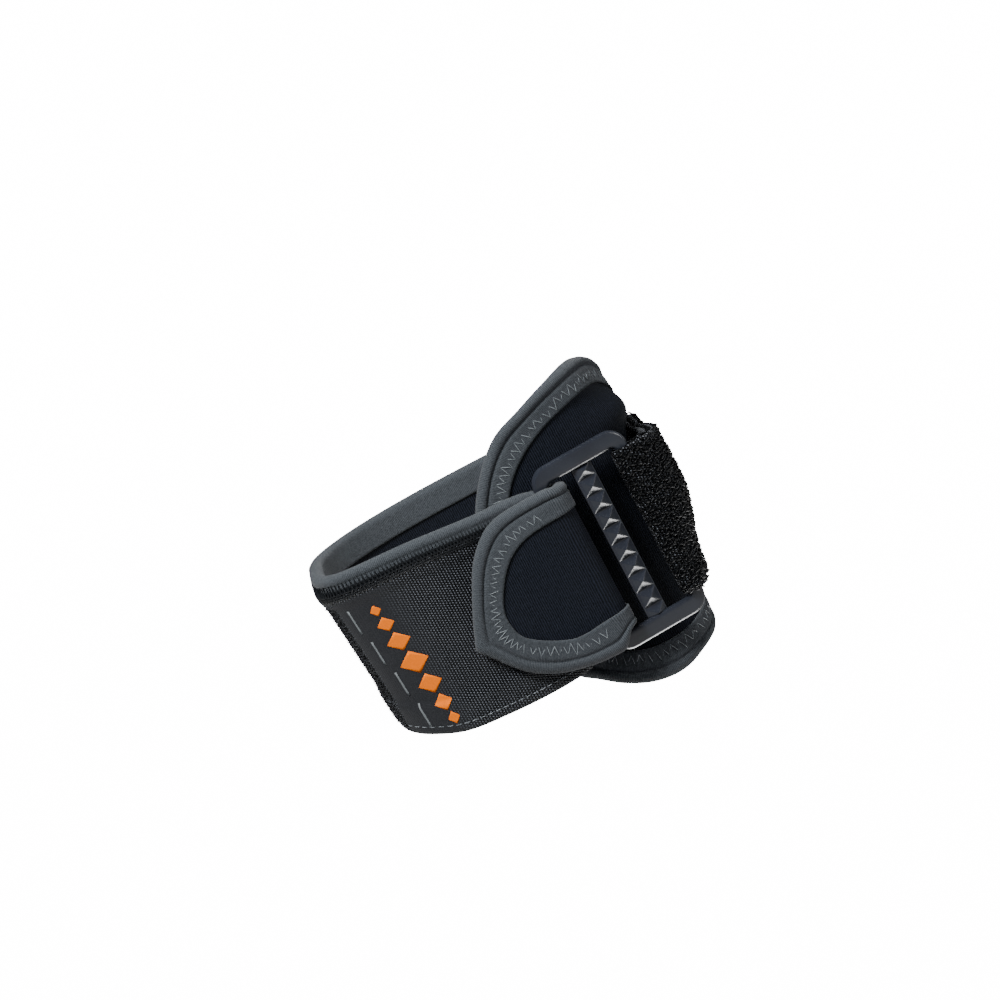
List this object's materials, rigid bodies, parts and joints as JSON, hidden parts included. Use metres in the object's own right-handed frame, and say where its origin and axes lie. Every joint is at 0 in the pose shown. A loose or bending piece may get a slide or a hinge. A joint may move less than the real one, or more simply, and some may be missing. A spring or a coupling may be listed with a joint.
{
  "type": "tennis elbow strap",
  "caption": "Neoprene forearm strap with a wide lobed pad, a strap closed through a studded three-bar buckle and folded back as a hook flap, and a loop fabric keeper.",
  "frame": {"origin": "middle of the opening that the forearm fills, level with the middle of the buckle's slots to within 1 mm", "axes": "+X to the right across the arm as the buckle is looked at, +Y away from the viewer through the arm, +Z along the arm toward the elbow"},
  "size_m": [0.1201, 0.1114, 0.1029],
  "materials": {
    "jersey": "matt black ribbed jersey over neoprene",
    "tape": "matt grey stretch tape",
    "loop": "matt black loop fabric",
    "plastic": "satin black moulded plastic"
  },
  "bodies": {
    "root": {"pad": "jersey", "pad_binding": "tape", "strap": "jersey", "strap_binding": "tape", "strap_facing": "loop", "hook_patch": "loop", "keeper": "loop", "buckle": "plastic"}
  },
  "joints": []
}
